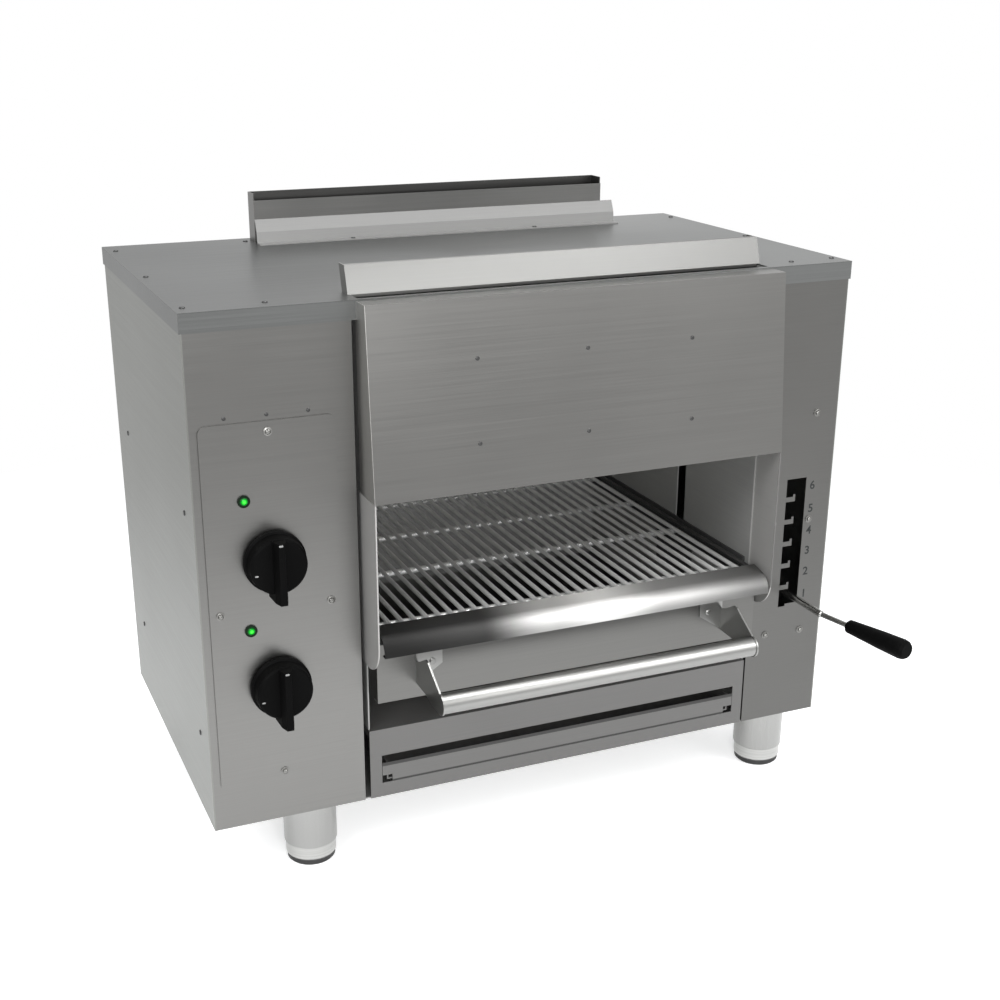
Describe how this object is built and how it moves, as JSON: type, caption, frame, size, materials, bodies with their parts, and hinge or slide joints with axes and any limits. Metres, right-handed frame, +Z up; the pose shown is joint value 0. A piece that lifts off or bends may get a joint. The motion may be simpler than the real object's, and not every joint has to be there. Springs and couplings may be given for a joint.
{
  "type": "cheese melter",
  "caption": "Countertop gas cheese melter with an open-fronted bay, burners above, a pull-out grate lifted by a notched side lever, a drip tray, two knobs and screw feet.",
  "frame": {"origin": "middle of the bounding box at floor level, under the feet", "axes": "+X to the right of someone facing the controls, +Y to the back, +Z up"},
  "size_m": [0.76, 0.6396, 0.697],
  "materials": {
    "front_steel": "brushed stainless sheet, grain across",
    "side_steel": "brushed stainless sheet",
    "top_steel": "brushed stainless sheet",
    "inner_steel": "plain stainless and plated steel",
    "polished_steel": "polished stainless",
    "wire_steel": "chromed wire",
    "screw_steel": "plated screws and bolts",
    "foot_steel": "turned foot base",
    "lamp_rim": "dark plated rim",
    "lamp_green": "lit green lens",
    "brass": "machined brass",
    "ceramic": "fired ceramic",
    "black_plastic": "black moulded plastic"
  },
  "bodies": {
    "cabinet": {"base_pan": "inner_steel", "left_side_panel": "side_steel", "right_side_panel": "side_steel", "back_panel": "side_steel", "top_cover": "top_steel", "control_panel": "front_steel", "service_cover": "front_steel", "lever_panel": "front_steel", "base_front_panel": "front_steel", "hood": "front_steel", "hood_liner": "inner_steel", "side_guards": "front_steel", "left_bay_wall": "inner_steel", "right_bay_wall": "inner_steel", "rear_bay_wall": "inner_steel", "burner_frame": "inner_steel", "front_vent_guard": "polished_steel", "flue_box": "top_steel", "flue_skirt": "top_steel", "cover_screws": "screw_steel", "panel_bolts": "screw_steel", "lamp_bezels": "lamp_rim", "lamp_lenses": "lamp_green", "gas_taps": "brass", "gas_manifold": "inner_steel", "gas_inlet": "brass", "left_burner": "inner_steel", "right_burner": "inner_steel", "burner_tiles": "ceramic", "burner_pipes": "polished_steel", "ignition_electrodes": "ceramic", "ignition_box": "black_plastic", "cable_gland": "black_plastic", "guide_posts": "polished_steel", "shaft_bearings": "inner_steel", "tray_runners": "inner_steel", "foot_sleeves": "polished_steel"},
    "front_left_foot": {"front_left_foot": "foot_steel"},
    "front_right_foot": {"front_right_foot": "foot_steel"},
    "rear_left_foot": {"rear_left_foot": "foot_steel"},
    "rear_right_foot": {"rear_right_foot": "foot_steel"},
    "carriage": {"carriage_left_side": "inner_steel", "carriage_right_side": "inner_steel", "carriage_rear_tie": "inner_steel", "slide_blocks": "inner_steel", "lever_bracket": "inner_steel"},
    "equalizer": {"equalizer_shaft": "polished_steel"},
    "lever": {"lever_rod": "polished_steel", "lever_grip": "black_plastic"},
    "grate_drawer": {"grate_frame": "wire_steel", "grate": "wire_steel", "drip_lip": "polished_steel", "apron": "front_steel", "handle_brackets": "polished_steel", "handle_tube": "polished_steel"},
    "drip_tray": {"drip_tray": "front_steel"},
    "upper_stem": {"upper_stem": "polished_steel"},
    "upper_knob": {"upper_knob": "black_plastic"},
    "lower_stem": {"lower_stem": "polished_steel"},
    "lower_knob": {"lower_knob": "black_plastic"}
  },
  "joints": [
    {"name": "carriage_lift", "type": "slide", "parent": "cabinet", "child": "carriage", "axis": [0, 0, 1], "range_m": [0, 0.139]},
    {"name": "equalizer_turn", "type": "hinge", "parent": "cabinet", "child": "equalizer", "pos_m": [0.0355, 0.28027, 0.3095], "axis": [-1, 0, 0], "range_deg": [0, 37.03]},
    {"name": "lever_swing", "type": "hinge", "parent": "carriage", "child": "lever", "pos_m": [0.3343, -0.02373, 0.24], "axis": [0, 0, -1], "range_deg": [0, 6.5]},
    {"name": "grate_drawer_pull", "type": "slide", "parent": "carriage", "child": "grate_drawer", "axis": [0, -1, 0], "range_m": [0, 0.25]},
    {"name": "drip_tray_pull", "type": "slide", "parent": "cabinet", "child": "drip_tray", "axis": [0, -1, 0], "range_m": [0, 0.32]},
    {"name": "upper_tap_push", "type": "slide", "parent": "cabinet", "child": "upper_stem", "axis": [0, 1, 0], "range_m": [0, 0.003], "stiffness_N_per_m": 1500, "springref_m": -0.003},
    {"name": "upper_knob_turn", "type": "hinge", "parent": "upper_stem", "child": "upper_knob", "pos_m": [-0.3, -0.14373, 0.381], "axis": [0, -1, 0], "range_deg": [0, 180]},
    {"name": "lower_tap_push", "type": "slide", "parent": "cabinet", "child": "lower_stem", "axis": [0, 1, 0], "range_m": [0, 0.003], "stiffness_N_per_m": 1500, "springref_m": -0.003},
    {"name": "lower_knob_turn", "type": "hinge", "parent": "lower_stem", "child": "lower_knob", "pos_m": [-0.3, -0.14373, 0.241], "axis": [0, -1, 0], "range_deg": [0, 180]},
    {"name": "front_left_foot_screw", "type": "slide", "parent": "cabinet", "child": "front_left_foot", "axis": [0, 0, -1], "range_m": [0, 0.02]},
    {"name": "rear_left_foot_screw", "type": "slide", "parent": "cabinet", "child": "rear_left_foot", "axis": [0, 0, -1], "range_m": [0, 0.02]},
    {"name": "front_right_foot_screw", "type": "slide", "parent": "cabinet", "child": "front_right_foot", "axis": [0, 0, -1], "range_m": [0, 0.02]},
    {"name": "rear_right_foot_screw", "type": "slide", "parent": "cabinet", "child": "rear_right_foot", "axis": [0, 0, -1], "range_m": [0, 0.02]}
  ],
  "couplings": [
    {"joint": "equalizer_turn", "follows": "carriage_lift", "rad_per_m": 4.6247}
  ]
}
